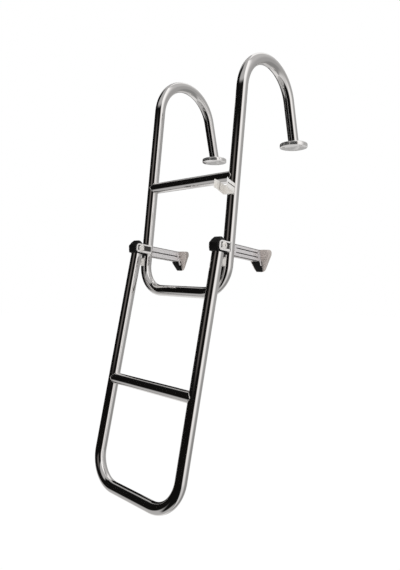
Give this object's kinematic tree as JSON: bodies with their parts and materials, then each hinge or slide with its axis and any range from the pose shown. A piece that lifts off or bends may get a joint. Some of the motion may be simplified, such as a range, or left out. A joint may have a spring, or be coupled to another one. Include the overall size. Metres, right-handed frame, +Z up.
{
  "type": "folding boat ladder",
  "caption": "Folding boat boarding ladder of bent stainless tube with deck hooks, a hinged lower section and stand-off arms with rubber pads.",
  "frame": {"origin": "centre of the underside of the right deck foot, on the deck", "axes": "+Z up, +Y inboard from the ladder towards the boat, +X along the rungs to the right as seen from the water"},
  "size_m": [0.285, 0.3891, 0.8552],
  "materials": {
    "tube": "mirror polished stainless",
    "fitting": "polished stainless",
    "fastener": "bright stainless",
    "black_plastic": "satin black nylon",
    "white_plastic": "off-white nylon",
    "rubber": "black rubber"
  },
  "bodies": {
    "upper_section": {"upper_frame_tube": "tube", "upper_rung": "tube", "deck_foot_right": "fitting", "hinge_cheeks_right": "fitting", "hinge_pin_right": "fastener", "stand_off_arm_right": "fitting", "pad_plate_right": "fitting", "pad_rubber_right": "rubber", "pad_wedge_right": "rubber", "fold_stop_right": "fitting", "deck_foot_left": "fitting", "hinge_cheeks_left": "fitting", "hinge_pin_left": "fastener", "stand_off_arm_left": "fitting", "pad_plate_left": "fitting", "pad_rubber_left": "rubber", "pad_wedge_left": "rubber", "fold_stop_left": "fitting", "retaining_clip": "white_plastic"},
    "lower_section": {"lower_frame_tube": "tube", "lower_rung": "tube", "hinge_cap_right": "black_plastic", "hinge_cap_left": "black_plastic"}
  },
  "joints": [
    {"name": "lower_fold", "type": "hinge", "parent": "upper_section", "child": "lower_section", "pos_m": [-0.113, -0.24546, -0.2204], "axis": [-1, 0, 0], "range_deg": [0, 173]}
  ]
}
